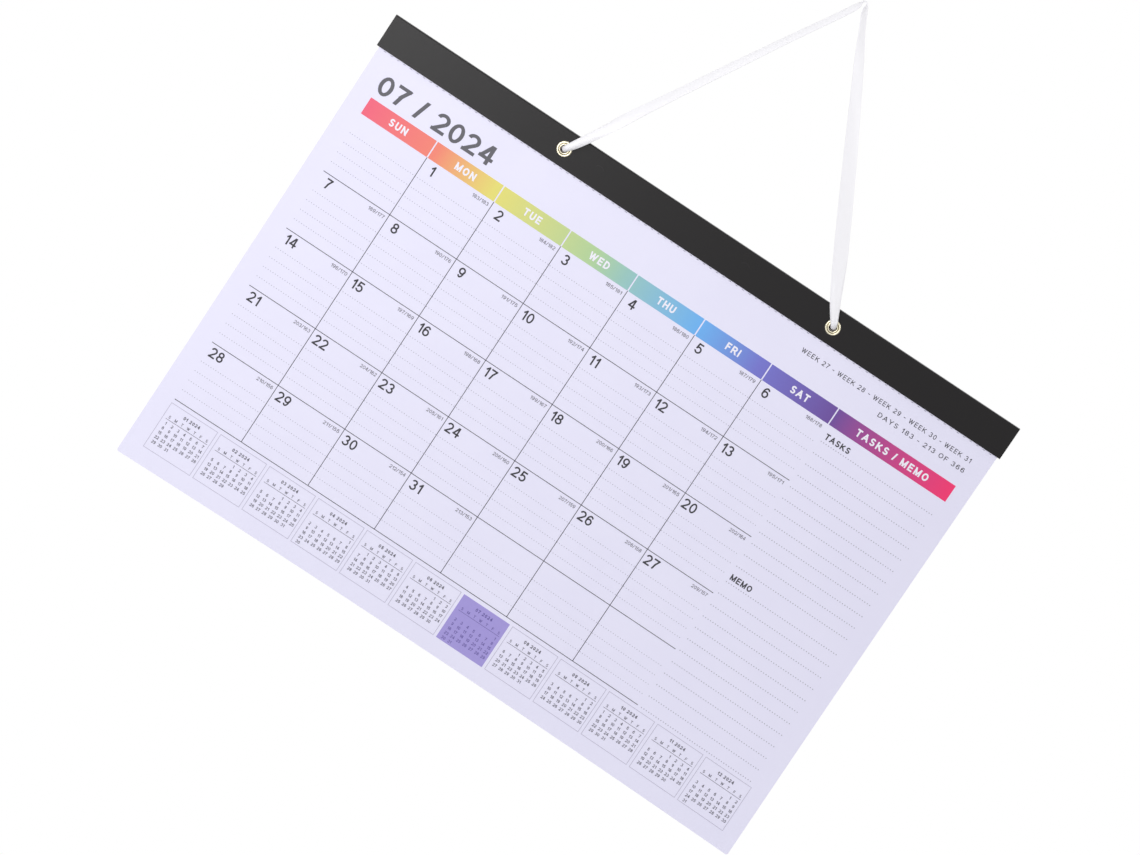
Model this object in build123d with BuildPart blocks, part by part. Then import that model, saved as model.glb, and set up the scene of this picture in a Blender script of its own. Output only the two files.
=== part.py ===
from build123d import *
import os
from math import atan2, cos, floor, sin, tan

# Wall calendar: a pad of printed month sheets on a backing board, bound along its top edge
# by a folded black strip, with two brass eyelets and the ribbon that it hangs by.
# Millimetres. +Z is up, the printed face looks to -Y and +X is to its right. The origin is
# the top of the nail, where the ribbon's loop rests on it.

os.makedirs("parts", exist_ok=True)

# Sheets and backing board
page_width = 432.0
page_height = 305.0
page_corner_radius = 1.5
sheet_count = 18
sheet_thickness = 0.13
board_thickness = 1.0

# Binding strip, folded over the top edge
strip_drop = 21.1
strip_overhang = 1.75
strip_thickness = 0.45
strip_fold_radius = 0.8

# Perforation, so that a sheet tears off below the strip
slit_length = 1.5
slit_tie = 3.05
slit_width = 0.25
slit_below_strip = 0.7
slit_end_margin = 2.0

# Staples, hidden under the strip
staple_count = 4
staple_wire = 0.6
staple_crown = 12.0
staple_clinch = 4.5
staple_bend_radius = 0.5
staple_drop = 7.0
staple_clearance = 0.05
staple_end_margin = 35.0

# Eyelets: a barrel with a flange behind and a curled end in front, over a domed washer
eyelet_spacing = 187.6
eyelet_shift = 0.5
eyelet_drop = 11.0
eyelet_bore = 4.7
eyelet_wall = 0.3
eyelet_flange_radius = 4.3
eyelet_flange_bend = 0.3
curl_radius = 0.28
curl_end_gap = 0.02
washer_outer_radius = 4.75
washer_seat_width = 0.5
washer_bend_radius = 0.25

# Ribbon, gathered to pass the eyelets and pulled tight over the nail
nail_to_eyelets = 166.3
nail_offset = 4.0
ribbon_thickness = 0.8
ribbon_bore_clearance = 0.15
ribbon_face_clearance = 0.1
ribbon_nail_radius = 3.5
ribbon_nail_straight = 0.4
ribbon_exit_radius = 1.2
knot_thickness = 4.6
knot_seat_margin = 0.1
knot_edge_radius = 1.9
knot_clearance = 0.1

# Printed layout, measured from the sheet's left edge and from the strip's top edge
print_thickness = 0.05
print_left = 11.65
print_right_margin = 10.1
column_count = 7
notes_column_width = 82.3
band_top = 48.5
band_height = 11.2
band_gap = 0.8
row_count = 5
row_to_months = 2.7
line_width = 0.4
month_count = 12
month_height = 30.9
month_bottom_margin = 10.4
month_gap = 1.9
month_line_width = 0.3
shown_month = 7
header_colours = ("red", "orange", "lime", "green", "teal", "blue", "indigo", "magenta")

# Depths along Y, from the ribbon's own plane in front to the knots behind
curl_top_y = ribbon_thickness / 2 + ribbon_face_clearance
curl_centre_y = curl_top_y + eyelet_wall / 2 + curl_radius
strip_front_y = curl_centre_y + curl_end_gap + eyelet_wall
pad_front_y = strip_front_y + strip_thickness
pad_back_y = pad_front_y + sheet_count * sheet_thickness
board_back_y = pad_back_y + board_thickness
strip_back_y = board_back_y + strip_thickness
eyelet_back_y = strip_back_y + eyelet_wall
knot_front_y = eyelet_back_y + knot_clearance

# Heights and places across
eyelet_z = -nail_to_eyelets
strip_top_z = eyelet_z + eyelet_drop
strip_bottom_z = strip_top_z - strip_drop
pad_top_z = strip_top_z - strip_thickness
page_bottom_z = strip_top_z - page_height
perforation_z = strip_bottom_z - slit_below_strip
staple_z = strip_top_z - staple_drop
centre_x = -nail_offset
page_left_x = centre_x - page_width / 2
left_eyelet_x = centre_x + eyelet_shift - eyelet_spacing / 2
right_eyelet_x = left_eyelet_x + eyelet_spacing
barrel_radius = (eyelet_bore + eyelet_wall) / 2
punched_hole_radius = barrel_radius + eyelet_flange_bend
strip_length = page_width + 2 * strip_overhang

staple_step = (page_width - 2 * staple_end_margin) / (staple_count - 1)
staple_row = [page_left_x + staple_end_margin + i * staple_step for i in range(staple_count)]
staple_front_y = pad_front_y + staple_clearance
staple_back_y = board_back_y - staple_clearance
staple_groove_length = staple_crown + 2 * staple_clearance
staple_groove_width = staple_wire + 2 * staple_clearance
staple_groove_depth = staple_clearance + staple_wire / 2 + staple_bend_radius


def facing_front(x, y, z):
    """A sketch plane at a point, with its normal towards the viewer."""
    return Plane(origin=(x, y, z), x_dir=(1, 0, 0), z_dir=(0, -1, 0))


def punch_eyelet_holes(y_front, y_back):
    """Cut both eyelet holes through the sheet layer between two depths."""
    for hole_x in (left_eyelet_x, right_eyelet_x):
        with BuildSketch(facing_front(hole_x, y_back, eyelet_z)) as punched_hole:
            Circle(punched_hole_radius)
        extrude(punched_hole.sketch, amount=y_back - y_front, mode=Mode.SUBTRACT)


def press_staple_legs(y_front, y_back):
    """Cut the holes of the staple legs through the layer between two depths."""
    for staple_x in staple_row:
        with BuildSketch(facing_front(staple_x, y_back, staple_z)) as leg_holes:
            with GridLocations(staple_crown - staple_wire, 0, 2, 1):
                Circle(staple_wire / 2 + staple_clearance)
        extrude(leg_holes.sketch, amount=y_back - y_front, mode=Mode.SUBTRACT)


# The pad of sheets: perforated under the strip, with staple crowns pressed into its face
with BuildPart() as page_pad:
    with BuildSketch(facing_front(centre_x, pad_back_y, pad_top_z)):
        Rectangle(page_width, pad_top_z - page_bottom_z, align=(Align.CENTER, Align.MAX))
    extrude(amount=pad_back_y - pad_front_y)
    upright_edges = page_pad.edges().filter_by(Axis.Y)
    fillet(upright_edges.group_by(Axis.Z)[0], page_corner_radius)
    slit_pitch = slit_length + slit_tie
    slit_count = floor((page_width - 2 * slit_end_margin) / slit_pitch)
    with BuildSketch(facing_front(centre_x, pad_back_y, perforation_z)):
        with GridLocations(slit_pitch, 0, slit_count, 1):
            Rectangle(slit_length, slit_width)
    extrude(amount=pad_back_y - pad_front_y, mode=Mode.SUBTRACT)
    punch_eyelet_holes(pad_front_y, pad_back_y)
    press_staple_legs(pad_front_y, pad_back_y)
    for staple_x in staple_row:
        with BuildSketch(facing_front(staple_x, pad_front_y + staple_groove_depth, staple_z)):
            Rectangle(staple_groove_length, staple_groove_width)
        extrude(amount=staple_groove_depth, mode=Mode.SUBTRACT)

page_pad.part.label = "page_pad"
export_step(page_pad.part, "parts/page_pad.step")


# The backing board: the same outline in stiff card, with grooves where the legs are clinched
with BuildPart() as backing_board:
    with BuildSketch(facing_front(centre_x, board_back_y, pad_top_z)):
        Rectangle(page_width, pad_top_z - page_bottom_z, align=(Align.CENTER, Align.MAX))
    extrude(amount=board_thickness)
    upright_edges = backing_board.edges().filter_by(Axis.Y)
    fillet(upright_edges.group_by(Axis.Z)[0], page_corner_radius)
    punch_eyelet_holes(pad_back_y, board_back_y)
    press_staple_legs(pad_back_y, board_back_y)
    for staple_x in staple_row:
        with BuildSketch(facing_front(staple_x, board_back_y, staple_z)):
            Rectangle(staple_groove_length, staple_groove_width)
        extrude(amount=staple_groove_depth, mode=Mode.SUBTRACT)

backing_board.part.label = "backing_board"
export_step(backing_board.part, "parts/backing_board.step")


# The binding strip: one piece folded over the top edge, down both faces
with BuildPart() as binding_strip:
    with BuildSketch(Plane.YZ.offset(centre_x - strip_length / 2)):
        with BuildLine():
            Polyline(
                (strip_front_y, strip_bottom_z),
                (strip_front_y, strip_top_z),
                (strip_back_y, strip_top_z),
                (strip_back_y, strip_bottom_z),
                (board_back_y, strip_bottom_z),
                (board_back_y, pad_top_z),
                (pad_front_y, pad_top_z),
                (pad_front_y, strip_bottom_z),
                close=True,
            )
        make_face()
    extrude(amount=strip_length)
    long_edges = binding_strip.edges().filter_by(Axis.X)
    fillet(long_edges.group_by(Axis.Z)[-1], strip_fold_radius)
    punch_eyelet_holes(strip_front_y, strip_back_y)

binding_strip.part.label = "binding_strip"
export_step(binding_strip.part, "parts/binding_strip.step")


# The staples: wire crowns on the pad's face, legs through, ends bent flat behind the board
with BuildPart() as binding_staples:
    crown_y = staple_front_y + staple_wire / 2
    clinch_y = staple_back_y - staple_wire / 2
    leg_half_span = (staple_crown - staple_wire) / 2
    for staple_x in staple_row:
        with BuildLine(Plane(origin=(staple_x, 0, staple_z))) as staple_wire_line:
            FilletPolyline(
                (leg_half_span - staple_clinch, clinch_y),
                (leg_half_span, clinch_y),
                (leg_half_span, crown_y),
                (-leg_half_span, crown_y),
                (-leg_half_span, clinch_y),
                (staple_clinch - leg_half_span, clinch_y),
                radius=staple_bend_radius,
            )
        with BuildSketch(Plane(origin=staple_wire_line.line @ 0, z_dir=staple_wire_line.line % 0)):
            Circle(staple_wire / 2)
        sweep(path=staple_wire_line.line)

binding_staples.part.label = "binding_staples"
export_step(binding_staples.part, "parts/binding_staples.step")


# Each eyelet: the barrel's flange lies on the strip's back, its end is curled over the washer
flange_y = strip_back_y + eyelet_wall / 2
for side, eyelet_x in (("left", left_eyelet_x), ("right", right_eyelet_x)):
    eyelet_axis = Axis((eyelet_x, 0, eyelet_z), (0, 1, 0))
    half_section = Plane(origin=(eyelet_x, 0, eyelet_z))

    with BuildPart() as eyelet:
        with BuildSketch(half_section):
            with BuildLine():
                FilletPolyline(
                    (eyelet_flange_radius, flange_y),
                    (barrel_radius, flange_y),
                    (barrel_radius, curl_centre_y),
                    radius=eyelet_flange_bend,
                )
                CenterArc((barrel_radius + curl_radius, curl_centre_y), curl_radius, 180, 180)
            trace(line_width=eyelet_wall)
        revolve(axis=eyelet_axis)

    eyelet.part.label = f"{side}_eyelet"
    export_step(eyelet.part, f"parts/{side}_eyelet.step")

    with BuildPart() as washer:
        washer_base_y = strip_front_y - eyelet_wall / 2
        dome_crest_y = curl_top_y + eyelet_wall / 2
        dome_start_radius = punched_hole_radius + washer_seat_width
        dome_third = (washer_outer_radius - dome_start_radius) / 3
        with BuildSketch(half_section):
            with BuildLine():
                FilletPolyline(
                    (punched_hole_radius, washer_base_y),
                    (dome_start_radius, washer_base_y),
                    (dome_start_radius + dome_third, dome_crest_y),
                    (dome_start_radius + 2 * dome_third, dome_crest_y),
                    (washer_outer_radius - eyelet_wall / 2, washer_base_y),
                    radius=washer_bend_radius,
                )
            trace(line_width=eyelet_wall)
        revolve(axis=eyelet_axis)

    washer.part.label = f"{side}_washer"
    export_step(washer.part, f"parts/{side}_washer.step")


# The ribbon: from the left knot out of the eyelet, up over the nail, down and in again
ribbon_width = eyelet_bore - 2 * ribbon_bore_clearance
ribbon_top_z = ribbon_width / 2
left_slope = atan2(ribbon_top_z - eyelet_z, -left_eyelet_x)
right_slope = atan2(ribbon_top_z - eyelet_z, right_eyelet_x)
nail_run = ribbon_nail_radius * (tan(left_slope / 2) + tan(right_slope / 2)) + ribbon_nail_straight
ribbon_points = [
    (left_eyelet_x, knot_front_y, eyelet_z),
    (left_eyelet_x, 0, eyelet_z),
    (-nail_run / 2, 0, ribbon_top_z),
    (nail_run / 2, 0, ribbon_top_z),
    (right_eyelet_x, 0, eyelet_z),
    (right_eyelet_x, knot_front_y, eyelet_z),
]
ribbon_radii = [ribbon_exit_radius, ribbon_nail_radius, ribbon_nail_radius, ribbon_exit_radius]

with BuildPart() as hanging_ribbon:
    with BuildLine() as ribbon_route:
        FilletPolyline(*ribbon_points, radius=ribbon_radii)
    across_leg = (sin(left_slope), 0, -cos(left_slope))
    with BuildSketch(Plane(origin=ribbon_points[0], x_dir=across_leg, z_dir=(0, -1, 0))):
        Rectangle(ribbon_width, ribbon_thickness)
    sweep()

hanging_ribbon.part.label = "hanging_ribbon"
export_step(hanging_ribbon.part, "parts/hanging_ribbon.step")
ribbon_length = ribbon_route.wires()[0].length
ribbon_share = hanging_ribbon.part.volume / (ribbon_width * ribbon_thickness * ribbon_length)
print("ribbon radii", ribbon_radii, "mm, length", round(ribbon_length, 1), "mm")
print("ribbon volume over section times length", round(ribbon_share, 4))


# The stop knots, one behind each eyelet, as plain rounded lumps
for side, eyelet_x in (("left", left_eyelet_x), ("right", right_eyelet_x)):
    knot_radius = ribbon_width / 2 + knot_seat_margin + knot_edge_radius
    with BuildPart() as knot:
        with BuildSketch(Plane(origin=(eyelet_x, 0, eyelet_z))):
            with Locations((0, knot_front_y)):
                Rectangle(knot_radius, knot_thickness, align=Align.MIN)
            fillet(vertices().group_by(Axis.X)[-1], knot_edge_radius)
        revolve(axis=Axis((eyelet_x, 0, eyelet_z), (0, 1, 0)))

    knot.part.label = f"{side}_knot"
    export_step(knot.part, f"parts/{side}_knot.step")


# The printed fields, as thin skins on the front sheet
print_width = page_width - print_left - print_right_margin
column_width = (print_width - notes_column_width) / column_count
first_row_top = band_top + band_height
month_top = page_height - month_bottom_margin - month_height
row_height = (month_top - row_to_months - first_row_top) / row_count
month_width = (print_width - (month_count - 1) * month_gap) / month_count


def on_sheet(across, down):
    """A sketch plane on the front sheet, at a place measured from its top left corner."""
    return facing_front(page_left_x + across, pad_front_y, strip_top_z - down)


# The header band: a cell of one colour over each column of days, and a wide one for notes
for index, colour in enumerate(header_colours):
    cell_width = column_width if index < column_count else notes_column_width
    with BuildPart() as header_cell:
        with BuildSketch(on_sheet(print_left + index * column_width + band_gap / 2, band_top)):
            Rectangle(cell_width - band_gap, band_height, align=(Align.MIN, Align.MAX))
        extrude(amount=print_thickness)

    header_cell.part.label = f"header_{colour}"
    export_step(header_cell.part, f"parts/header_{colour}.step")


# The ruled lines of the month: upright between the columns, level under each row
with BuildPart() as month_grid:
    with BuildSketch(on_sheet(print_left, first_row_top)):
        grid_width = column_count * column_width - band_gap
        for row in range(1, row_count + 1):
            with Locations((band_gap / 2, -row * row_height)):
                Rectangle(grid_width, line_width, align=(Align.MIN, Align.CENTER))
        for column in range(1, column_count):
            with Locations((column * column_width, 0)):
                Rectangle(line_width, row_count * row_height, align=(Align.CENTER, Align.MAX))
    extrude(amount=print_thickness)

month_grid.part.label = "month_grid"
export_step(month_grid.part, "parts/month_grid.step")


# The row of small month boxes: outlines, and one filled box for the month that is shown
month_pitch = month_width + month_gap
with BuildPart() as month_boxes:
    outlined = [(i * month_pitch, 0) for i in range(month_count) if i != shown_month - 1]
    with BuildSketch(on_sheet(print_left + month_width / 2, month_top + month_height / 2)):
        with Locations(*outlined):
            Rectangle(month_width, month_height)
            Rectangle(
                month_width - 2 * month_line_width,
                month_height - 2 * month_line_width,
                mode=Mode.SUBTRACT,
            )
    extrude(amount=print_thickness)

month_boxes.part.label = "month_boxes"
export_step(month_boxes.part, "parts/month_boxes.step")

with BuildPart() as shown_month_box:
    shown_left = print_left + (shown_month - 1) * month_pitch
    with BuildSketch(on_sheet(shown_left, month_top)):
        Rectangle(month_width, month_height, align=(Align.MIN, Align.MAX))
    extrude(amount=print_thickness)

shown_month_box.part.label = "shown_month_box"
export_step(shown_month_box.part, "parts/shown_month_box.step")
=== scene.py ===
import math
import bpy
from mathutils import Matrix, Quaternion, Vector


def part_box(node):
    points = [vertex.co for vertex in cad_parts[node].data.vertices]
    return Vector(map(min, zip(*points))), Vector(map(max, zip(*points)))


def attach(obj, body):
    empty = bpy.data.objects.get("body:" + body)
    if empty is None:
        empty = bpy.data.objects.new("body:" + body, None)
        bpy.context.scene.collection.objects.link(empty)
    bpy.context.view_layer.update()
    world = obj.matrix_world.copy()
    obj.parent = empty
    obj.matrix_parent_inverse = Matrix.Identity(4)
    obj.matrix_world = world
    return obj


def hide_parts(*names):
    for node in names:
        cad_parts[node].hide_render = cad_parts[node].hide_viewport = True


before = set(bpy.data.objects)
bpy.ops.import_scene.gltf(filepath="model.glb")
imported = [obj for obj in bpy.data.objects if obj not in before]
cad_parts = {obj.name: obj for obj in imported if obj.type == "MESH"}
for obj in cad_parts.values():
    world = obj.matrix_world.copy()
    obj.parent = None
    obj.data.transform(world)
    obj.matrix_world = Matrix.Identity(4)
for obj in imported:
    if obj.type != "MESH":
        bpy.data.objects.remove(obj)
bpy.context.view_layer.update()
bpy.ops.object.select_all(action="DESELECT")


# Camera. The calendar is seen from in front and a little above, through a long lens, and
# the picture is turned so that the calendar leans 34 degrees clockwise in it.
mm = 0.001
picture_width_px = 1140
focal_length_px = 4500
sensor_width = 36.0
camera_distance = 2639.2 * mm
camera_azimuth = math.radians(0.15)
camera_elevation = math.radians(8.92)
camera_roll = math.radians(33.64)
pad_low, pad_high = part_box("page_pad")
strip_low, strip_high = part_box("binding_strip")
sheet_middle_x = (pad_low.x + pad_high.x) / 2
sheet_front_y = pad_low.y
sheet_middle_z = (strip_high.z + pad_low.z) / 2
aim_left = 0.8 * mm
aim_up = 6.7 * mm
camera_aim = Vector((sheet_middle_x - aim_left, sheet_front_y, sheet_middle_z + aim_up))

view_direction = Vector((
    math.sin(camera_azimuth) * math.cos(camera_elevation),
    math.cos(camera_azimuth) * math.cos(camera_elevation),
    -math.sin(camera_elevation),
))
bpy.ops.object.camera_add(location=camera_aim - camera_distance * view_direction)
camera = bpy.context.object
camera.name = "camera"
camera.rotation_mode = "QUATERNION"
camera.rotation_quaternion = (
    view_direction.to_track_quat("-Z", "Y") @ Quaternion((0, 0, 1), camera_roll)
)
camera.data.sensor_fit = "HORIZONTAL"
camera.data.sensor_width = sensor_width
camera.data.lens = focal_length_px / picture_width_px * sensor_width
camera.data.clip_end = 20.0
bpy.context.scene.camera = camera


# Room. A pale round floor lies well below the calendar, and four soft boxes light it at a
# plain level. The two in front stand on the left, so the paper is a little brighter there.
def linear_colour(hex_code):
    """The linear colour with full alpha that an sRGB hex code stands for."""
    shares = [int(hex_code[i:i + 2], 16) / 255 for i in (1, 3, 5)]
    return [s / 12.92 if s <= 0.04045 else ((s + 0.055) / 1.055) ** 2.4 for s in shares] + [1.0]


def add_node(material, kind, settings=None, **links):
    """Add a node to a material, with its settings, and link or set the named inputs."""
    node = material.node_tree.nodes.new(kind)
    for name, value in (settings or {}).items():
        setattr(node, name, value)
    for name, value in links.items():
        by_number = name[1:].isdigit()
        socket = node.inputs[int(name[1:]) if by_number else name.replace("_", " ")]
        if isinstance(value, bpy.types.NodeSocket):
            material.node_tree.links.new(value, socket)
        else:
            socket.default_value = value
    return node


def start_material(name, colour, roughness, **constants):
    """A new material whose own shader has this colour, roughness and other constants."""
    material = bpy.data.materials.new(name)
    material.use_nodes = True
    shader = material.node_tree.nodes["Principled BSDF"]
    shader.inputs["Base Color"].default_value = linear_colour(colour)
    shader.inputs["Roughness"].default_value = roughness
    for socket_name, value in constants.items():
        shader.inputs[socket_name.replace("_", " ")].default_value = value
    return material, shader


floor_drop = 430 * mm
floor_radius = 900 * mm
floor_depth_back = 250 * mm
bpy.ops.mesh.primitive_circle_add(
    vertices=96,
    radius=floor_radius,
    fill_type="NGON",
    location=(sheet_middle_x, floor_depth_back - floor_radius, pad_low.z - floor_drop),
)
floor = bpy.context.object
floor.name = "floor"
bpy.ops.object.transform_apply()
floor_paint, _ = start_material("matt_white_floor_paint", "#F2F2F4", 0.8)
floor.data.materials.append(floor_paint)

world = bpy.data.worlds.new("white_studio")
bpy.context.scene.world = world
world.use_nodes = True
light_path = add_node(world, "ShaderNodeLightPath")
camera_or_glossy = add_node(
    world, "ShaderNodeMath", {"operation": "MAXIMUM"},
    _0=light_path.outputs["Is Camera Ray"], _1=light_path.outputs["Is Glossy Ray"],
)
seen_directly = add_node(
    world, "ShaderNodeMath", {"operation": "MAXIMUM"},
    _0=camera_or_glossy.outputs[0], _1=light_path.outputs["Is Transmission Ray"],
)
room_light = 0.45
world_strength = add_node(
    world, "ShaderNodeMapRange", {},
    Value=seen_directly.outputs[0], To_Min=room_light, To_Max=1.0,
)
background = world.node_tree.nodes["Background"]
background.inputs["Color"].default_value = linear_colour("#FFFFFF")
world.node_tree.links.new(world_strength.outputs[0], background.inputs["Strength"])


def add_soft_box(name, place, size, watts):
    """A square lamp at this place, turned towards the middle of the sheets."""
    bpy.ops.object.light_add(type="AREA", location=place)
    lamp = bpy.context.object
    lamp.name = name
    lamp.data.size = size
    lamp.data.energy = watts
    lamp.rotation_mode = "QUATERNION"
    target = Vector((sheet_middle_x, sheet_front_y, sheet_middle_z))
    lamp.rotation_quaternion = (target - Vector(place)).to_track_quat("-Z", "Y")


add_soft_box("soft_box_side", place=(-0.6, -0.9, 0.12), size=0.5, watts=5.0)
add_soft_box("soft_box_front", place=(-0.52, -2.2, -0.34), size=0.4, watts=6.3)
add_soft_box("soft_box_top", place=(-0.1, -0.3, 1.1), size=0.7, watts=3.4)
add_soft_box("soft_box_back", place=(0.9, 0.1, 0.6), size=0.5, watts=4.6)

bpy.context.scene.view_settings.view_transform = "Standard"


# Sheets. Eighteen leaves of smooth white offset paper make one pad, perforated just under
# the strip. Hung up, its free lower corners have curled forward by about a centimetre.
curl_start = 90 * mm
curl_left = 11.5 * mm
curl_right = 10.5 * mm
sheet_half_width = (pad_high.x - pad_low.x) / 2
curl_top_z = strip_high.z - curl_start
merge_reach = 0.002 * mm
paper_edge_angle = math.radians(30)


def curl_forward(x, z):
    """How far the sheets have come forward at a place across and up."""
    across = (x - sheet_middle_x) / sheet_half_width
    down = max(0.0, (curl_top_z - z) / (curl_top_z - pad_low.z))
    return (curl_left if across < 0 else curl_right) * (across * down) ** 2


def select_only(pieces):
    """Deselect everything else and make the first of these pieces the active one."""
    bpy.ops.object.select_all(action="DESELECT")
    for piece in pieces:
        piece.select_set(True)
    bpy.context.view_layer.objects.active = pieces[0]


def curled_copy(node, name, cell):
    """A copy of a CAD node, cut into cells of this size and curled with the sheets."""
    piece = bpy.data.objects.new(name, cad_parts[node].data.copy())
    piece.data.materials.clear()
    bpy.context.collection.objects.link(piece)
    select_only([piece])
    bpy.ops.object.mode_set(mode="EDIT")
    bpy.ops.mesh.customdata_custom_splitnormals_clear()
    bpy.ops.mesh.select_all(action="SELECT")
    bpy.ops.mesh.remove_doubles(threshold=merge_reach)
    low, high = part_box(node)
    cuts_across = range(1, int((high.x - pad_low.x) / cell) + 1)
    cuts_down = range(0, int((curl_top_z - low.z) / cell) + 1)
    planes = [((pad_low.x + i * cell, 0, 0), (1, 0, 0)) for i in cuts_across]
    planes += [((0, 0, curl_top_z - i * cell), (0, 0, 1)) for i in cuts_down]
    for point, normal in planes:
        bpy.ops.mesh.select_all(action="SELECT")
        bpy.ops.mesh.bisect(plane_co=point, plane_no=normal)
    bpy.ops.object.mode_set(mode="OBJECT")
    depth = piece.data.attributes.new("depth", "FLOAT", "POINT")
    for vertex in piece.data.vertices:
        depth.data[vertex.index].value = vertex.co.y
        vertex.co.y -= curl_forward(vertex.co.x, vertex.co.z)
    bpy.ops.object.shade_smooth_by_angle(angle=paper_edge_angle)
    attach(piece, "root")
    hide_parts(node)
    return piece


curl_cell = 9 * mm
sheets = curled_copy("page_pad", "month_sheets", curl_cell)

# Smooth uncoated offset paper: a bluish white, with fibres of about a millimetre that show
# only as the faintest mottle and tooth. On the cut edges, each leaf is a line of its own.
paper_white = "#EBE9FC"
paper_shade = "#E6E4F9"
paper_mottle = 40 * mm
paper_fibre = 1.1 * mm
leaf_thickness = 0.13 * mm
leaf_gap_colour = "#B9B8C6"
paper, paper_shader = start_material("offset_paper", paper_white, 0.62, IOR=1.5)
place = add_node(paper, "ShaderNodeTexCoord")
mottle = add_node(
    paper, "ShaderNodeTexNoise", {},
    Vector=place.outputs["Object"], Scale=1 / paper_mottle, Detail=3.0, Roughness=0.6,
)
paper_tone = add_node(
    paper, "ShaderNodeMix", {"data_type": "RGBA"},
    _0=mottle.outputs[0], _6=linear_colour(paper_white), _7=linear_colour(paper_shade),
)
leaf_depth = add_node(paper, "ShaderNodeAttribute", {"attribute_name": "depth"})
leaf_count = add_node(
    paper, "ShaderNodeMath", {"operation": "MULTIPLY"},
    _0=leaf_depth.outputs["Fac"], _1=1 / leaf_thickness,
)
leaf_wave = add_node(
    paper, "ShaderNodeMath", {"operation": "PINGPONG"},
    _0=leaf_count.outputs[0], _1=0.5,
)
leaf_line = add_node(
    paper, "ShaderNodeMapRange", {},
    Value=leaf_wave.outputs[0], From_Min=0.30, From_Max=0.48,
)
facing = add_node(paper, "ShaderNodeNewGeometry")
facing_parts = add_node(paper, "ShaderNodeSeparateXYZ", {}, Vector=facing.outputs["Normal"])
front_share = add_node(
    paper, "ShaderNodeMath", {"operation": "ABSOLUTE"}, _0=facing_parts.outputs["Y"],
)
on_cut_edge = add_node(
    paper, "ShaderNodeMapRange", {},
    Value=front_share.outputs[0], From_Min=0.6, From_Max=0.3,
)
edge_line = add_node(
    paper, "ShaderNodeMath", {"operation": "MULTIPLY"},
    _0=leaf_line.outputs[0], _1=on_cut_edge.outputs[0],
)
paper_colour = add_node(
    paper, "ShaderNodeMix", {"data_type": "RGBA"},
    _0=edge_line.outputs[0], _6=paper_tone.outputs[2], _7=linear_colour(leaf_gap_colour),
)
paper.node_tree.links.new(paper_colour.outputs[2], paper_shader.inputs["Base Color"])
fibre = add_node(
    paper, "ShaderNodeTexNoise", {},
    Vector=place.outputs["Object"], Scale=1 / paper_fibre, Detail=4.0,
)
tooth = add_node(
    paper, "ShaderNodeBump", {},
    Strength=0.12, Distance=0.02 * mm, Height=fibre.outputs[0],
)
paper.node_tree.links.new(tooth.outputs[0], paper_shader.inputs["Normal"])
sheets.data.materials.append(paper)


# Backing board. One millimetre of grey recycled board, stapled and bound behind the sheets.
# The sheets pull its lower corners forward, so it has the same curl.
board = curled_copy("backing_board", "grey_backing_board", curl_cell)

# Grey board: pressed waste paper, dull, with pale and dark fibres up to 3 mm long.
board_grey = "#A39D94"
board_pale_fibre = "#C2BCB1"
board_dark_fibre = "#7E786F"
board_fibre = 0.9 * mm
grey_board, board_shader = start_material("recycled_grey_board", board_grey, 0.9)
place = add_node(grey_board, "ShaderNodeTexCoord")
stretched = add_node(
    grey_board, "ShaderNodeMapping", {},
    Vector=place.outputs["Object"], Scale=(1.0, 1.0, 0.3),
)
flecks = add_node(
    grey_board, "ShaderNodeTexNoise", {},
    Vector=stretched.outputs[0], Scale=1 / board_fibre, Detail=5.0, Roughness=0.7,
)
fleck_tones = add_node(grey_board, "ShaderNodeValToRGB", {}, Fac=flecks.outputs[0])
fleck_tones.color_ramp.elements[0].position = 0.30
fleck_tones.color_ramp.elements[0].color = linear_colour(board_dark_fibre)
fleck_tones.color_ramp.elements[1].position = 0.72
fleck_tones.color_ramp.elements[1].color = linear_colour(board_pale_fibre)
fleck_tones.color_ramp.elements.new(0.5).color = linear_colour(board_grey)
grey_board.node_tree.links.new(fleck_tones.outputs[0], board_shader.inputs["Base Color"])
board_tooth = add_node(
    grey_board, "ShaderNodeBump", {},
    Strength=0.3, Distance=0.05 * mm, Height=flecks.outputs[0],
)
grey_board.node_tree.links.new(board_tooth.outputs[0], board_shader.inputs["Normal"])
board.data.materials.append(grey_board)


# Header band. Process inks printed over the first sheet in eight cells, which run through
# the rainbow from red over the first day to magenta over the notes.
band_low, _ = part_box("header_red")
_, band_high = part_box("header_magenta")
# Red, orange, yellow, green, teal, sky blue, indigo, violet and magenta, each with its place
# as a share of the band's length.
band_colours = (
    (0.00, "#EE667F"), (0.12, "#F08674"), (0.22, "#E4DB75"), (0.39, "#B1D19C"), (0.44, "#99C6BE"),
    (0.57, "#6EB2F1"), (0.67, "#7677CD"), (0.80, "#6C4D9B"), (1.00, "#F63872"),
)
band_ink, band_shader = start_material(
    "rainbow_process_ink", "#FFFFFF", 0.6, IOR=1.5, Specular_IOR_Level=0.35,
)
place = add_node(band_ink, "ShaderNodeTexCoord")
place_parts = add_node(
    band_ink, "ShaderNodeSeparateXYZ", {}, Vector=place.outputs["Object"],
)
along_band = add_node(
    band_ink, "ShaderNodeMapRange", {},
    Value=place_parts.outputs["X"], From_Min=band_low.x, From_Max=band_high.x,
)
rainbow = add_node(band_ink, "ShaderNodeValToRGB", {}, Fac=along_band.outputs[0])
rainbow.color_ramp.elements[0].position = band_colours[0][0]
rainbow.color_ramp.elements[0].color = linear_colour(band_colours[0][1])
rainbow.color_ramp.elements[1].position = band_colours[-1][0]
rainbow.color_ramp.elements[1].color = linear_colour(band_colours[-1][1])
for position, colour in band_colours[1:-1]:
    rainbow.color_ramp.elements.new(position).color = linear_colour(colour)
band_ink.node_tree.links.new(rainbow.outputs[0], band_shader.inputs["Base Color"])
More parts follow.
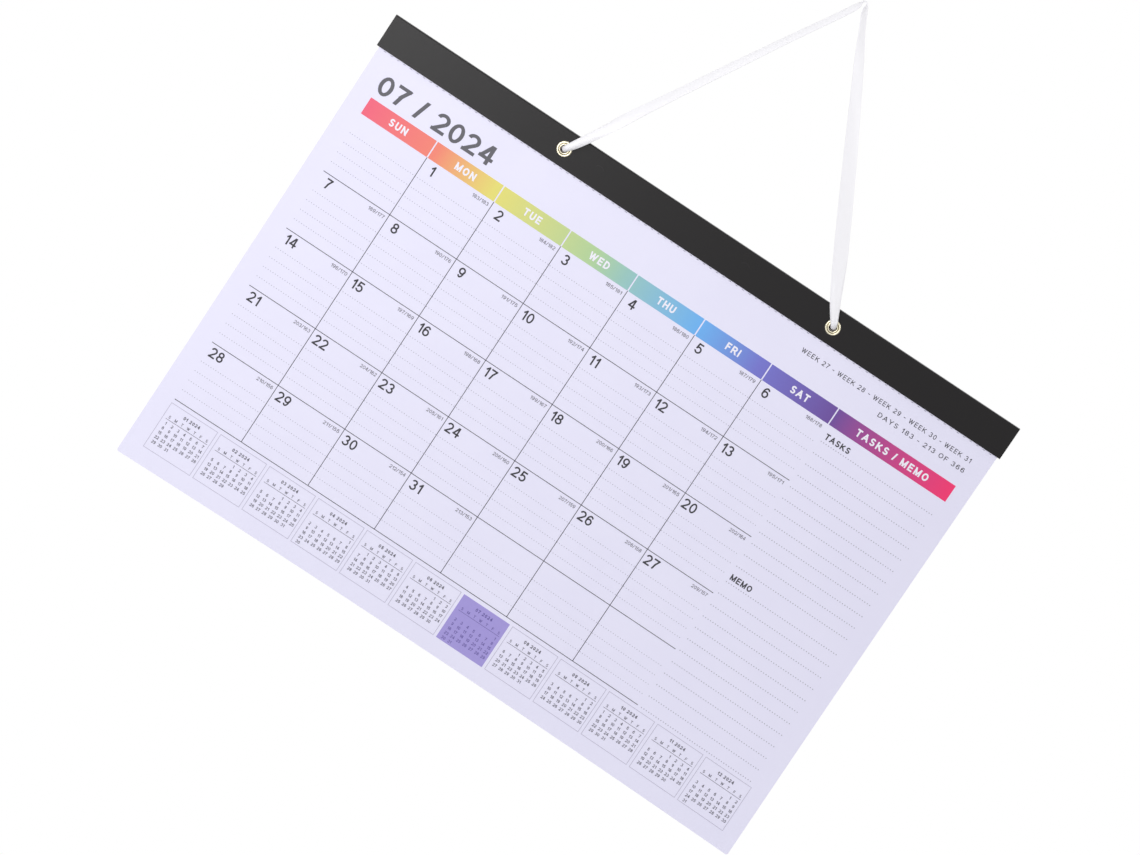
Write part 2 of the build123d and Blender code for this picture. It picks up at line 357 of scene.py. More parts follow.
header_cells = [
    "header_red", "header_orange", "header_lime", "header_green",
    "header_teal", "header_blue", "header_indigo", "header_magenta",
]


def finish_node(node_name, material):
    """Give a CAD node that stays in the scene this material alone."""
    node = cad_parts[node_name]
    node.data.materials.clear()
    node.data.materials.append(material)


for cell_name in header_cells:
    finish_node(cell_name, band_ink)


# Header words. Left clear of ink, so that the white of the sheet stands in the band as short
# names of the days, and over the notes as a plain heading. All letters and figures on the
# sheet are one plain upright face, drawn here with strokes of a flat pen.
page_left = pad_low.x
page_top = strip_high.z
# Each sign has its width, and its strokes as shares of its width and height: two ends for a
# straight one, and for a round one the middle, the two radii and the two angles in degrees.
signs = {
    "0": (0.64, (0.5, 0.5, 0.5, 0.5, 0, 360)),
    "1": (0.40, (1, 0, 1, 1), (0, 0.70, 0.9, 0.97)),
    "2": (0.64, (0.5, 0.72, 0.5, 0.28, 170, -42), (0.87, 0.53, 0.08, 0.04), (0, 0, 1, 0)),
    "3": (0.64, (0.48, 0.76, 0.44, 0.24, 165, -90), (0.48, 0.27, 0.52, 0.27, 90, -165)),
    "4": (0.68, (0.74, 0, 0.74, 1), (0.6, 1, 0.06, 0.3), (0, 0.27, 1, 0.27)),
    "5": (0.64, (0.2, 1, 0.9, 1), (0.18, 1, 0.08, 0.5), (0.47, 0.32, 0.53, 0.32, 128, -162)),
    "6": (0.64, (0.5, 0.31, 0.5, 0.31, 0, 360), (0.55, 0.5, 0.55, 0.5, 200, 40)),
    "7": (0.62, (0, 1, 1, 1), (0.98, 0.96, 0.55, 0.5), (0.55, 0.5, 0.33, 0)),
    "8": (0.64, (0.5, 0.76, 0.42, 0.24, 0, 360), (0.5, 0.27, 0.5, 0.27, 0, 360)),
    "9": (0.64, (0.5, 0.69, 0.5, 0.31, 0, 360), (0.45, 0.5, 0.45, 0.5, 20, -140)),
    "A": (0.82, (0, 0, 0.5, 1), (0.5, 1, 1, 0), (0.2, 0.3, 0.8, 0.3)),
    "D": (0.74, (0, 0, 0, 1), (0, 1, 0.4, 1), (0, 0, 0.4, 0), (0.4, 0.5, 0.6, 0.5, 90, -90)),
    "E": (0.64, (0, 0, 0, 1), (0, 1, 1, 1), (0, 0.51, 0.92, 0.51), (0, 0, 1, 0)),
    "F": (0.60, (0, 0, 0, 1), (0, 1, 1, 1), (0, 0.5, 0.85, 0.5)),
    "H": (0.72, (0, 0, 0, 1), (1, 0, 1, 1), (0, 0.5, 1, 0.5)),
    "I": (0.20, (0.5, 0, 0.5, 1)),
    "K": (0.76, (0, 0, 0, 1), (0.04, 0.36, 0.94, 1), (0.34, 0.58, 1, 0)),
    "M": (0.88, (0, 0, 0, 1), (1, 0, 1, 1), (0, 1, 0.5, 0.04), (1, 1, 0.5, 0.04)),
    "N": (0.74, (0, 0, 0, 1), (1, 0, 1, 1), (0, 1, 1, 0)),
    "O": (0.82, (0.5, 0.5, 0.5, 0.5, 0, 360)),
    "R": (
        0.74, (0, 0, 0, 1), (0, 1, 0.5, 1), (0, 0.46, 0.5, 0.46),
        (0.5, 0.73, 0.42, 0.27, 90, -90), (0.55, 0.46, 1, 0),
    ),
    "S": (0.68, (0.5, 0.75, 0.46, 0.25, 18, 270), (0.5, 0.25, 0.5, 0.25, 90, -162)),
    "T": (0.70, (0, 1, 1, 1), (0.5, 0, 0.5, 1)),
    "U": (0.72, (0, 1, 0, 0.4), (1, 1, 1, 0.4), (0.5, 0.36, 0.5, 0.36, 180, 360)),
    "W": (1.06, (0, 1, 0.26, 0), (0.26, 0, 0.5, 0.96), (0.5, 0.96, 0.74, 0), (0.74, 0, 1, 1)),
    "Y": (0.78, (0, 1, 0.5, 0.44), (1, 1, 0.5, 0.44), (0.5, 0, 0.5, 0.44)),
    "/": (0.40, (0, 0, 1, 1)),
    "-": (0.40, (0, 0.42, 1, 0.42)),
    " ": (0.24,),
}
sign_gap = 0.13
round_steps = 20
fewest_steps = 4
steep_slope = 1.1
flat_slope = 0.35


def stroke_sides(stroke, width, pen):
    """The two sides of one stroke of the pen, in a sign one unit tall. A steep straight stroke
    is cut off level, a flat one upright, and one between them square."""
    def place_of(across, up):
        return Vector((pen / 2 + across * (width - pen), pen / 2 + up * (1 - pen), 0))
    if len(stroke) == 4:
        first, last = place_of(*stroke[:2]), place_of(*stroke[2:])
        run = last - first
        if abs(run.y) > steep_slope * abs(run.x):
            side = Vector((pen / 2 * run.length / abs(run.y), 0, 0))
            reach = run * (pen / 2 / abs(run.y))
        elif abs(run.y) < flat_slope * abs(run.x):
            side = Vector((0, pen / 2 * run.length / abs(run.x), 0))
            reach = run * (pen / 2 / abs(run.x))
        else:
            side = Vector((run.y, -run.x, 0)).normalized() * pen / 2
            reach = Vector((0, 0, 0))
        first, last = first - reach, last + reach
        return [(first - side, first + side), (last - side, last + side)]
    middle = place_of(*stroke[:2])
    wide, tall = stroke[2] * (width - pen), stroke[3] * (1 - pen)
    start, end = (math.radians(angle) for angle in stroke[4:])
    count = max(fewest_steps, round(round_steps * abs(end - start) / math.tau))
    sides = []
    for i in range(count + 1):
        angle = start + (end - start) * i / count
        ray = Vector((math.cos(angle), math.sin(angle), 0))
        inner = Vector((ray.x * (wide - pen / 2), ray.y * (tall - pen / 2), 0))
        outer = Vector((ray.x * (wide + pen / 2), ray.y * (tall + pen / 2), 0))
        sides.append((middle + inner, middle + outer))
    return sides


stroke_lift = 0.004 * mm


def write_word(body, pen, gap):
    """A flat mesh of one word, one unit tall, with each stroke facing forward and a few
    microns over the one before it, so that no two lie in one plane where they cross."""
    points = []
    faces = []
    start = 0.0
    for sign in body:
        width, *strokes = signs[sign]
        for order, stroke in enumerate(strokes):
            base = len(points)
            shift = Vector((start, 0, order * stroke_lift))
            sides = stroke_sides(stroke, width, pen)
            for near, far in sides:
                points += [near + shift, far + shift]
            for i in range(base, base + 2 * len(sides) - 2, 2):
                faces.append((i, i + 1, i + 3, i + 2))
        start += width + gap
    for i, (first, second, third, _) in enumerate(faces):
        if (points[second] - points[first]).cross(points[third] - points[second]).z < 0:
            faces[i] = faces[i][::-1]
    mesh = bpy.data.meshes.new("word")
    mesh.from_pydata(points, [], faces)
    return mesh


word_meshes = {}


def set_words(skin, body, x, y, tall, wide=None, anchor=0.5, pen=0.15, gap=sign_gap):
    """Add words to a skin of ink. x is across the page and y down from the strip's top edge
    to the middle of the capitals, which are this tall."""
    key = (body, pen, gap)
    if key not in word_meshes:
        word_meshes[key] = write_word(body, pen, gap)
    mesh = word_meshes[key].copy()
    left = min(vertex.co.x for vertex in mesh.vertices)
    right = max(vertex.co.x for vertex in mesh.vertices)
    stretch = wide / (right - left) if wide else tall
    mesh.transform(
        Matrix.Translation((x, -y, 0))
        @ Matrix.Diagonal((stretch, tall, 1, 1))
        @ Matrix.Translation((-left - anchor * (right - left), -0.5, 0))
    )
    letters = bpy.data.objects.new("letters", mesh)
    bpy.context.collection.objects.link(letters)
    skin.append(letters)


def lay_on_sheet(skin, name, ink, lift):
    """Join a skin of ink and lay it on the curled sheet, this far in front of the paper."""
    select_only(skin)
    bpy.ops.object.join()
    printed = bpy.context.object
    printed.name = name
    for vertex in printed.data.vertices:
        x = page_left + vertex.co.x
        z = page_top + vertex.co.y
        y = sheet_front_y - lift - vertex.co.z - curl_forward(x, z)
        vertex.co = (x, y, z)
    printed.data.materials.clear()
    printed.data.materials.append(ink)
    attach(printed, "root")


def offset_ink(name, colour, patchy_colour):
    """Offset ink: a skin a few microns thick, nearly as dull as the paper, that lies a little
    unevenly on its fibres."""
    ink, shader = start_material(name, colour, 0.6, IOR=1.5, Specular_IOR_Level=0.35)
    spot = add_node(ink, "ShaderNodeTexCoord")
    patches = add_node(
        ink, "ShaderNodeTexNoise", {},
        Vector=spot.outputs["Object"], Scale=1 / paper_fibre, Detail=3.0,
    )
    tone = add_node(
        ink, "ShaderNodeMix", {"data_type": "RGBA"},
        _0=patches.outputs[0], _6=linear_colour(colour), _7=linear_colour(patchy_colour),
    )
    ink.node_tree.links.new(tone.outputs[2], shader.inputs["Base Color"])
    return ink


sheet_print_left = band_low.x - page_left
header_tall = 4.7 * mm
header_lift = 0.08 * mm
day_names = ("SUN", "MON", "TUE", "WED", "THU", "FRI", "SAT")
header_titles = [(day_name, 0.22) for day_name in day_names] + [("TASKS / MEMO", 0.26)]
clear_paper = offset_ink("unprinted_paper", "#F4F2FC", "#EFEDF9")
header_words = []
for cell_name, (header_title, title_gap) in zip(header_cells, header_titles):
    cell_low, cell_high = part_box(cell_name)
    set_words(
        header_words, header_title,
        x=(cell_low.x + cell_high.x) / 2 - page_left,
        y=page_top - (cell_low.z + cell_high.z) / 2,
        tall=header_tall, pen=0.21, gap=title_gap,
    )
lay_on_sheet(header_words, "header_words", clear_paper, header_lift)


# Month and dates. Thin rules between the days, a date in the corner of each, the headings of
# the notes and two lines at the top right, printed in one dark grey ink on the curled sheet.
# The month's number and year above the band are in a softer grey.
month_rules = curled_copy("month_grid", "month_rules", curl_cell)
dark_ink = offset_ink("dark_grey_offset_ink", "#2F2E34", "#3A393F")
month_rules.data.materials.append(dark_ink)

ink_lift = 0.06 * mm
grid_low, grid_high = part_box("month_grid")
rule_width = 0.4 * mm
week_length = len(day_names)
shown_weeks = 5
days_top = page_top - cell_low.z
column_width = (grid_high.x - grid_low.x) / week_length
row_height = (cell_low.z - grid_low.z - rule_width / 2) / shown_weeks
notes_left = sheet_print_left + week_length * column_width
shown_month = 7
shown_year = 2024
first_column = 1
days_in_month = 31
date_tall = 6.4 * mm
date_middle = 5.1 * mm
date_across = 6.7 * mm
title_left = sheet_print_left - 0.3 * mm
heading_left = notes_left + 3 * mm
lines_right = sheet_print_left + 408.5 * mm
title_words = []
set_words(
    title_words, f"{shown_month:02d} / {shown_year}",
    x=title_left, y=38.5 * mm, tall=12 * mm, wide=80 * mm, anchor=0, pen=0.17,
)
title_ink = offset_ink("mid_dark_offset_ink", "#5E5D64", "#67666D")
lay_on_sheet(title_words, "month_title", title_ink, ink_lift)
dark_words = []
for note_heading, heading_y in (("TASKS", 66.3 * mm), ("MEMO", 166.5 * mm)):
    set_words(
        dark_words, note_heading,
        x=heading_left, y=heading_y, tall=3.8 * mm, anchor=0, pen=0.19, gap=0.2,
    )
for line_words, line_y, line_wide in (
    ("WEEK 27 - WEEK 28 - WEEK 29 - WEEK 30 - WEEK 31", 31.5 * mm, 118 * mm),
    ("DAYS 183 - 213 OF 366", 38.5 * mm, 60 * mm),
):
    set_words(
        dark_words, line_words,
        x=lines_right, y=line_y, tall=2.9 * mm, wide=line_wide, anchor=1, pen=0.13, gap=0.3,
    )
for day in range(1, days_in_month + 1):
    row, column = divmod(day - 1 + first_column, week_length)
    set_words(
        dark_words, str(day),
        x=sheet_print_left + column * column_width + date_across,
        y=days_top + row * row_height + date_middle,
        tall=date_tall, pen=0.15,
    )
lay_on_sheet(dark_words, "month_and_dates", dark_ink, ink_lift)


# Week and note lines. Rows of fine pale dots to write on, four in each week and two blocks
# of twelve under the notes, printed in a light tint of the grey.
dot_tint = offset_ink("pale_grey_dots", "#A19FB0", "#A9A7B8")
dot_lift = 0.03 * mm
dot_corners = 6


def add_dots(skin, x, y, radius, repeats):
    """Add a dot and repeat it along and down the page, once for each count and step."""
    bpy.ops.object.select_all(action="DESELECT")
    bpy.ops.mesh.primitive_circle_add(
        vertices=dot_corners, radius=radius, fill_type="NGON", location=(x, -y, 0),
    )
    dots = bpy.context.object
    bpy.ops.object.transform_apply()
    for count, step in repeats:
        rows = dots.modifiers.new("rows", "ARRAY")
        rows.count = count
        rows.use_relative_offset = False
        rows.use_constant_offset = True
        rows.constant_offset_displace = step
        bpy.ops.object.modifier_apply(modifier=rows.name)
    skin.append(dots)


dots_in_week_line = 193
lines_in_week = 4
week_dot_pitch = 1.69 * mm
week_line_pitch = 6.73 * mm
week_dots = []
add_dots(
    week_dots, x=sheet_print_left + 0.9 * mm, y=days_top + 13.0 * mm, radius=0.28 * mm,
    repeats=(
        (dots_in_week_line, (week_dot_pitch, 0, 0)),
        (lines_in_week, (0, -week_line_pitch, 0)),
        (shown_weeks, (0, -row_height, 0)),
    ),
)
lay_on_sheet(week_dots, "week_dots", dot_tint, dot_lift)
dots_in_note_line = 46
lines_in_block = 12
note_dot_pitch = 1.72 * mm
note_dots = []
for block_y, line_pitch in ((70.4 * mm, 8.1 * mm), (170.5 * mm, 8.23 * mm)):
    add_dots(
        note_dots, x=notes_left + 2.6 * mm, y=block_y, radius=0.36 * mm,
        repeats=(
            (dots_in_note_line, (note_dot_pitch, 0, 0)),
            (lines_in_block, (0, -line_pitch, 0)),
        ),
    )
lay_on_sheet(note_dots, "note_dots", dot_tint, dot_lift)


# Small figures. The days gone and the days left in the year, beside each date, in a mid grey
# ink and a light face.
mid_ink = offset_ink("mid_grey_offset_ink", "#5C5A66", "#66646F")
small_figures = []
days_in_year = 366
days_before = 182
count_inset = 2.1 * mm
count_middle = 3.2 * mm
for day in range(1, days_in_month + 1):
    row, column = divmod(day - 1 + first_column, week_length)
    set_words(
        small_figures, f"{days_before + day}/{days_in_year - days_before - day}",
        x=sheet_print_left + (column + 1) * column_width - count_inset,
        y=days_top + row * row_height + count_middle,
        tall=2.15 * mm, wide=11 * mm, anchor=1, pen=0.13,
    )
lay_on_sheet(small_figures, "day_counts", mid_ink, ink_lift)


# Small months. Twelve ruled boxes along the foot of the sheet, the one of the month shown
# printed solid in lilac, each with its number, its days' initials and its dates.
box_outlines = curled_copy("month_boxes", "small_month_boxes", curl_cell)
box_tint = offset_ink("pale_grey_rules", "#B4B1C4", "#BCB9CB")
box_outlines.data.materials.append(box_tint)
shown_box = curled_copy("shown_month_box", "shown_month_field", curl_cell)
lilac_ink = offset_ink("lilac_offset_ink", "#A195D8", "#A89CDC")
shown_box.data.materials.append(lilac_ink)

shown_low, shown_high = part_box("shown_month_box")
month_wide = shown_high.x - shown_low.x
month_pitch = month_wide + 1.9 * mm
months_top = page_top - shown_high.z
month_name_y = months_top + 3.9 * mm
initials_y = months_top + 8 * mm
initials_rule_y = months_top + 9.8 * mm
first_week_y = months_top + 12.2 * mm
rule_cells = 8
rule_wide = month_wide - 3.6 * mm
rule_tall = 0.25 * mm
first_day_across = 3.5 * mm
day_pitch = 4.3 * mm
week_pitch = 3.32 * mm
# The column that each month's first day stands in, and each month's number of days.
month_starts = (0, 3, 3, 6, 1, 4, 6, 2, 5, 0, 3, 5)
month_lengths = (31, 29, 31, 30, 31, 30, 31, 31, 30, 31, 30, 31)
grey_figures = []
violet_figures = []
for month in range(1, 13):
    figures = violet_figures if month == shown_month else grey_figures
    month_left = sheet_print_left + (month - 1) * month_pitch
    set_words(
        figures, f"{month:02d} {shown_year}",
        x=month_left + month_wide / 2, y=month_name_y, tall=2.1 * mm, pen=0.21, gap=0.24,
    )
    for column, initial in enumerate("SMTWTFS"):
        set_words(
            figures, initial, x=month_left + first_day_across + column * day_pitch,
            y=initials_y, tall=1.8 * mm, pen=0.16,
        )
    for day in range(1, month_lengths[month - 1] + 1):
        row, column = divmod(day - 1 + month_starts[month - 1], week_length)
        set_words(
            figures, str(day), x=month_left + first_day_across + column * day_pitch,
            y=first_week_y + row * week_pitch, tall=1.9 * mm, pen=0.17,
        )
    bpy.ops.object.select_all(action="DESELECT")
    bpy.ops.mesh.primitive_grid_add(
        x_subdivisions=rule_cells, y_subdivisions=1, size=1,
        location=(month_left + month_wide / 2, -initials_rule_y, 0),
    )
    rule = bpy.context.object
    rule.scale = (rule_wide, rule_tall, 1)
    bpy.ops.object.transform_apply()
    figures.append(rule)
lay_on_sheet(grey_figures, "small_month_figures", mid_ink, ink_lift)
violet_ink = offset_ink("violet_offset_ink", "#5F5398", "#685CA0")
lay_on_sheet(violet_figures, "shown_month_figures", violet_ink, ink_lift)


# Binding strip. Black leather-look paper, folded over the top of sheets and board and glued
# and stapled through. Its fine grain is rubbed smooth along the fold. The lighter grey band there
# is partly wear and partly a painted highlight of the rounded fold.
strip_black = "#191718"
strip_wear_and_fold_highlight = "#2A2729"
grain_size = 0.45 * mm
wear_and_highlight_depth = 0.5 * mm
leatherette, strip_shader = start_material(
    "black_leatherette_paper", strip_black, 0.29, IOR=1.5, Specular_IOR_Level=0.2,
)
place = add_node(leatherette, "ShaderNodeTexCoord")
grain = add_node(
    leatherette, "ShaderNodeTexVoronoi", {"feature": "SMOOTH_F1"},
    Vector=place.outputs["Object"], Scale=1 / grain_size,
)
strip_parts = add_node(
    leatherette, "ShaderNodeSeparateXYZ", {}, Vector=place.outputs["Object"],
)
# Lighter grey along the fold: partly wear, partly a painted highlight of the rounded fold.
fold_wear_and_highlight = add_node(
    leatherette, "ShaderNodeMapRange", {},
    Value=strip_parts.outputs["Z"],
    From_Min=strip_high.z - wear_and_highlight_depth, From_Max=strip_high.z, To_Max=0.5,
)
creases_and_fold_highlight = fold_wear_and_highlight.outputs[0]
# Two faint creases, each the upper part of a small ring.
crease_places = (148 * mm, 250 * mm)
crease_drop = 11 * mm
crease_radius = 3.2 * mm
crease_width = 0.35 * mm
for crease_along in crease_places:
    from_crease = add_node(
        leatherette, "ShaderNodeVectorMath", {"operation": "DISTANCE"},
        _0=place.outputs["Object"],
        _1=(strip_low.x + crease_along, strip_low.y, strip_high.z - crease_drop),
    )
    off_arc = add_node(
        leatherette, "ShaderNodeMath", {"operation": "SUBTRACT"},
        _0=from_crease.outputs["Value"], _1=crease_radius,
    )
    off_line = add_node(
        leatherette, "ShaderNodeMath", {"operation": "ABSOLUTE"}, _0=off_arc.outputs[0],
    )
    arc = add_node(
        leatherette, "ShaderNodeMapRange", {},
        Value=off_line.outputs[0], From_Min=crease_width, From_Max=0.0, To_Max=0.8,
    )
    upper_half = add_node(
        leatherette, "ShaderNodeMapRange", {},
        Value=strip_parts.outputs["Z"],
        From_Min=strip_high.z - 9.6 * mm, From_Max=strip_high.z - 8.4 * mm,
    )
    crescent = add_node(
        leatherette, "ShaderNodeMath", {"operation": "MULTIPLY"},
        _0=arc.outputs[0], _1=upper_half.outputs[0],
    )
    creases_and_fold_highlight = add_node(
        leatherette, "ShaderNodeMath", {"operation": "MAXIMUM"},
        _0=creases_and_fold_highlight, _1=crescent.outputs[0],
    ).outputs[0]
strip_colour = add_node(
    leatherette, "ShaderNodeMix", {"data_type": "RGBA"},
    _0=creases_and_fold_highlight, _6=linear_colour(strip_black), _7=linear_colour(strip_wear_and_fold_highlight),
)
leatherette.node_tree.links.new(strip_colour.outputs[2], strip_shader.inputs["Base Color"])
grain_bump = add_node(
    leatherette, "ShaderNodeBump", {},
    Strength=0.25, Distance=0.04 * mm, Height=grain.outputs["Distance"],
)
crease_bump = add_node(
    leatherette, "ShaderNodeBump", {},
    Strength=0.4, Distance=0.08 * mm, Height=creases_and_fold_highlight, Normal=grain_bump.outputs[0],
)
leatherette.node_tree.links.new(crease_bump.outputs[0], strip_shader.inputs["Normal"])
finish_node("binding_strip", leatherette)


# Staples. Four of zinc-plated steel wire, pressed through sheets and board under the strip.
# The plating is bright, and uneven by a fifth of a millimetre.
zinc_grain = 0.2 * mm
zinc_wire, zinc_shader = start_material("zinc_plated_wire", "#B4B6B8", 0.35, Metallic=1.0)
place = add_node(zinc_wire, "ShaderNodeTexCoord")
zinc_unevenness = add_node(
    zinc_wire, "ShaderNodeTexNoise", {}, Vector=place.outputs["Object"], Scale=1 / zinc_grain,
)
wire_bump = add_node(
    zinc_wire, "ShaderNodeBump", {},
    Strength=0.1, Distance=0.01 * mm, Height=zinc_unevenness.outputs[0],
)
zinc_wire.node_tree.links.new(wire_bump.outputs[0], zinc_shader.inputs["Normal"])
finish_node("binding_staples", zinc_wire)


# Eyelets. Two-piece grommets of thin pale brass, a domed washer in front and the barrel's
# end curled over it. Stamped and tumbled, so bright, and a little dulled in patches by handling.
# The groove between curl and washer is painted dark olive: a little tarnish, and mostly painted
# shade that the groove would hold.
brass_pale = "#E3DCC4"
brass_groove_shade_and_tarnish = "#7F7553"
handling_patch = 0.7 * mm
groove_radius = 3.35 * mm
groove_width = 0.45 * mm
brass, brass_shader = start_material("pale_tumbled_brass", brass_pale, 0.26, Metallic=1.0)
place = add_node(brass, "ShaderNodeTexCoord")
handling = add_node(
    brass, "ShaderNodeTexNoise", {},
    Vector=place.outputs["Object"], Scale=1 / handling_patch, Detail=5.0,
)
brass_polish = add_node(
    brass, "ShaderNodeMapRange", {},
    Value=handling.outputs[0], To_Min=0.20, To_Max=0.36,
)
brass.node_tree.links.new(brass_polish.outputs[0], brass_shader.inputs["Roughness"])
brass_bump = add_node(
    brass, "ShaderNodeBump", {},
    Strength=0.08, Distance=0.02 * mm, Height=handling.outputs[0],
)
brass.node_tree.links.new(brass_bump.outputs[0], brass_shader.inputs["Normal"])
ring_places = [
    (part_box(node_name)[0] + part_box(node_name)[1]) / 2
    for node_name in ("left_washer", "right_washer")
]
flat_place = add_node(
    brass, "ShaderNodeVectorMath", {"operation": "MULTIPLY"},
    _0=place.outputs["Object"], _1=(1.0, 0.0, 1.0),
)
from_axes = [
    add_node(
        brass, "ShaderNodeVectorMath", {"operation": "DISTANCE"},
        _0=flat_place.outputs[0], _1=(ring_place.x, 0.0, ring_place.z),
    )
    for ring_place in ring_places
]
ring_radius = add_node(
    brass, "ShaderNodeMath", {"operation": "MINIMUM"},
    _0=from_axes[0].outputs["Value"], _1=from_axes[1].outputs["Value"],
)
# A ring of dark olive in the groove: a little tarnish and mostly painted shade.
off_groove = add_node(
    brass, "ShaderNodeMath", {"operation": "SUBTRACT"},
    _0=ring_radius.outputs[0], _1=groove_radius,
)
groove_reach = add_node(
    brass, "ShaderNodeMath", {"operation": "ABSOLUTE"}, _0=off_groove.outputs[0],
)
groove_shade_and_tarnish_share = add_node(
    brass, "ShaderNodeMapRange", {},
    Value=groove_reach.outputs[0], From_Min=groove_width, From_Max=0.0, To_Max=0.85,
)
brass_colour = add_node(
    brass, "ShaderNodeMix", {"data_type": "RGBA"},
    _0=groove_shade_and_tarnish_share.outputs[0], _6=linear_colour(brass_pale), _7=linear_colour(brass_groove_shade_and_tarnish),
)
brass.node_tree.links.new(brass_colour.outputs[2], brass_shader.inputs["Base Color"])
for node_name in ("left_eyelet", "left_washer", "right_eyelet", "right_washer"):
    finish_node(node_name, brass)


# Ribbon. One length of 9.5 mm white satin ribbon, gathered to pass each eyelet and flat along
# its legs. The nail pulls it tight: it passes over it with its edge to the front, and turns
# its face forward on the way down each leg.
ribbon_width = 9.5 * mm
ribbon_thickness = 0.3 * mm
left_low, left_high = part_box("left_eyelet")
right_low, right_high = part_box("right_eyelet")
left_hole_x = (left_low.x + left_high.x) / 2
right_hole_x = (right_low.x + right_high.x) / 2
hole_z = (left_low.z + left_high.z) / 2
knot_low, knot_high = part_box("left_knot")
ribbon_route = [
    (left_hole_x - 0.1 * mm, knot_low.y, hole_z - 0.3 * mm),
    (left_hole_x + 0.1 * mm, -1.7 * mm, hole_z + 0.2 * mm),
    (left_hole_x + 3.4 * mm, -1.2 * mm, hole_z + 5.6 * mm),
    (-28.8 * mm, 0, -48.7 * mm),
    (-1.2 * mm, 0, -3.8 * mm),
    (-0.2 * mm, 0, 1.6 * mm),
    (2.9 * mm, 0, 1.2 * mm),
    (3.9 * mm, 0, -5.0 * mm),
    (28.3 * mm, 0, -49.5 * mm),
    (right_hole_x - 2.6 * mm, -1.2 * mm, hole_z + 6.1 * mm),
    (right_hole_x + 0.4 * mm, -1.7 * mm, hole_z + 0.7 * mm),
    (right_hole_x + 0.1 * mm, knot_low.y, hole_z - 0.3 * mm),
]


def smooth_line(name, route, resolution):
    """A curve object: the smooth line that a taut or tied ribbon takes by way of a route."""
    curve = bpy.data.curves.new(name, "CURVE")
    curve.dimensions = "3D"
    curve.resolution_u = resolution
    line = curve.splines.new("NURBS")
    line.points.add(len(route) - 1)
    for point, spot in zip(line.points, route):
        point.co = (*spot, 1.0)
    line.order_u = 3
    line.use_endpoint_u = True
    carrier = bpy.data.objects.new(name, curve)
    bpy.context.collection.objects.link(carrier)
    return carrier


def between(table, spot):
    """The value at a spot in a table of spots and values, both in millimetres."""
    for (near, first), (far, last) in zip(table, table[1:]):
        if spot <= far * mm:
            share = max(0.0, (spot / mm - near) / (far - near))
            return (first + (last - first) * share) * mm
    return table[-1][1] * mm


# Distances and widths in millimetres: how wide the gathered ribbon spreads from each eyelet on,
# and how much of its width is turned to the front, from the nail on down each leg.
gathered = ((0, 3.5), (3, 4.4), (12, 6.3), (24, 8.0), (35, 9.2), (45, 9.5))
seen_of_left_leg = (
    (0, 0.2), (2, 0.5), (4, 2.2), (8, 3.4), (28, 3.4),
    (60, 3.9), (80, 4.6), (119, 4.8), (139, 5.4), (158, 6.5),
)
seen_of_right_leg = (
    (0, 0.2), (2, 0.6), (4, 2.4), (8, 3.4), (18, 3.5), (26, 4.6),
    (35, 5.5), (52, 6.3), (69, 7.1), (87, 7.9), (104, 8.2), (122, 8.6),
)
ribbon_line = smooth_line("route", ribbon_route, resolution=24)
bpy.context.view_layer.update()
ribbon_path = [
    vertex.co.copy() for vertex in bpy.data.meshes.new_from_object(ribbon_line).vertices
]
bpy.data.objects.remove(ribbon_line)
path_steps = [(b - a).length for a, b in zip(ribbon_path, ribbon_path[1:])]
along_path = [sum(path_steps[:i]) for i in range(len(ribbon_path))]
nail_index = max(range(len(ribbon_path)), key=lambda i: ribbon_path[i].z)
nail_along = along_path[nail_index]
bore_length = knot_low.y + 1.0 * mm
ribbon_columns = 14
widest_chord = 0.995 * ribbon_width
cup_step = 0.005
ribbon_points = []
for i, centre in enumerate(ribbon_path):
    before = ribbon_path[max(0, i - 1)]
    after = ribbon_path[min(len(ribbon_path) - 1, i + 1)]
    tangent = (after - before).normalized()
    on_left = along_path[i] < nail_along
    if on_left:
        leg = Vector((-left_hole_x, 0, -hole_z)).normalized()
        seen_width = between(seen_of_left_leg, nail_along - along_path[i])
    else:
        leg = Vector((right_hole_x, 0, hole_z)).normalized()
        seen_width = between(seen_of_right_leg, along_path[i] - nail_along)
    across = leg.cross(Vector((0, 1, 0)))
    across = (across - tangent * across.dot(tangent)).normalized()
    outward = tangent.cross(across)
    turned = Quaternion(tangent, -math.acos(min(1.0, seen_width / ribbon_width)))
    across = turned @ across
    outward = turned @ outward
    from_hole = min(along_path[i], along_path[-1] - along_path[i]) - bore_length
    chord = min(between(gathered, from_hole), widest_chord)
    cup_angle = 2 * cup_step
    while ribbon_width * math.sin(min(cup_angle, math.pi / 2)) / cup_angle > chord:
        cup_angle += cup_step
    cup_radius = ribbon_width / (2 * cup_angle)
    for j in range(ribbon_columns + 1):
        angle = cup_angle * (2 * j / ribbon_columns - 1)
        rise = cup_radius * (1 - math.cos(angle)) - cup_radius * (1 - math.cos(cup_angle)) / 2
        ribbon_points.append(centre + across * cup_radius * math.sin(angle) - outward * rise)
# The rings of points are joined to a strip of faces, which then gets the ribbon's thickness.
ring_size = ribbon_columns + 1
ribbon_faces = [
    (i * ring_size + j, (i + 1) * ring_size + j, (i + 1) * ring_size + j + 1, i * ring_size + j + 1)
    for i in range(len(ribbon_path) - 1)
    for j in range(ribbon_columns)
]
ribbon_mesh = bpy.data.meshes.new("satin_ribbon")
ribbon_mesh.from_pydata(ribbon_points, [], ribbon_faces)
ribbon = bpy.data.objects.new("satin_ribbon", ribbon_mesh)
bpy.context.collection.objects.link(ribbon)
weave_map = ribbon_mesh.uv_layers.new(name="weave")
for loop in ribbon_mesh.loops:
    ring, column = divmod(loop.vertex_index, ring_size)
    weave_map.data[loop.index].uv = (column / ribbon_columns * ribbon_width, along_path[ring])
select_only([ribbon])
thicken = ribbon.modifiers.new("thickness", "SOLIDIFY")
thicken.thickness = ribbon_thickness
thicken.offset = 0
bpy.ops.object.modifier_apply(modifier=thicken.name)
ribbon_edge_angle = math.radians(60)
bpy.ops.object.shade_smooth_by_angle(angle=ribbon_edge_angle)
